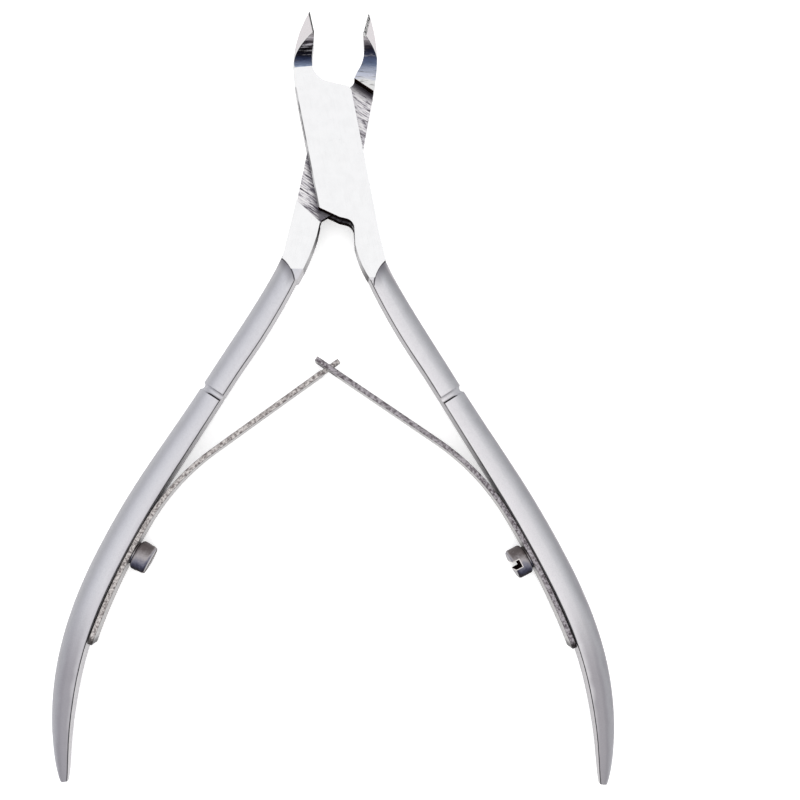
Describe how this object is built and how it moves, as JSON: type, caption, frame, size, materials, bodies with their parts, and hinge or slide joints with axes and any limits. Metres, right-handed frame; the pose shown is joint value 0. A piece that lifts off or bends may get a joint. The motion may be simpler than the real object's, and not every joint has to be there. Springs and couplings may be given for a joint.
{
  "type": "cuticle nipper",
  "caption": "Hand nipper with slim pointed jaws on a slotted box joint, two outward-bowed tapering handles and crossed leaf springs that hold it open.",
  "frame": {"origin": "on the pivot axis, at the flat back face of the box joint", "axes": "+Z out of the front face along the pivot axis, +Y from the pivot towards the jaw tips along the tool's centre line, +X to the right"},
  "size_m": [0.0775, 0.1066, 0.0042],
  "materials": {
    "lever_steel": "polished box and jaws, satin handles",
    "pin_steel": "polished flush with the box",
    "spring_steel": "satin spring steel with ground edges",
    "screw_steel": "dull grey turned steel"
  },
  "bodies": {
    "box_lever": {"box_lever": "lever_steel", "pivot_pin": "pin_steel", "spring_screw_right": "screw_steel"},
    "tongue_lever": {"tongue_lever": "lever_steel", "spring_screw_left": "screw_steel"},
    "windowed_spring": {"windowed_leaf_spring": "spring_steel"},
    "tongued_spring": {"tongued_leaf_spring": "spring_steel"}
  },
  "joints": [
    {"name": "pivot", "type": "hinge", "parent": "box_lever", "child": "tongue_lever", "pos_m": [0, 0, 0], "axis": [0, 0, 1], "range_deg": [0, 22.9], "stiffness_Nm_per_rad": 0.5},
    {"name": "windowed_spring_flex", "type": "hinge", "parent": "box_lever", "child": "windowed_spring", "pos_m": [0.0228, -0.0492, 0.0021], "axis": [0, 0, 1], "range_deg": [-12.8, 0], "deforming": ["windowed_leaf_spring"]},
    {"name": "tongued_spring_flex", "type": "hinge", "parent": "tongue_lever", "child": "tongued_spring", "pos_m": [-0.0252, -0.0519, 0.0021], "axis": [0, 0, 1], "range_deg": [0, 12.8], "deforming": ["tongued_leaf_spring"]}
  ],
  "couplings": [
    {"joint": "windowed_spring_flex", "follows": "pivot", "ratio": -0.554},
    {"joint": "tongued_spring_flex", "follows": "pivot", "ratio": 0.554}
  ]
}
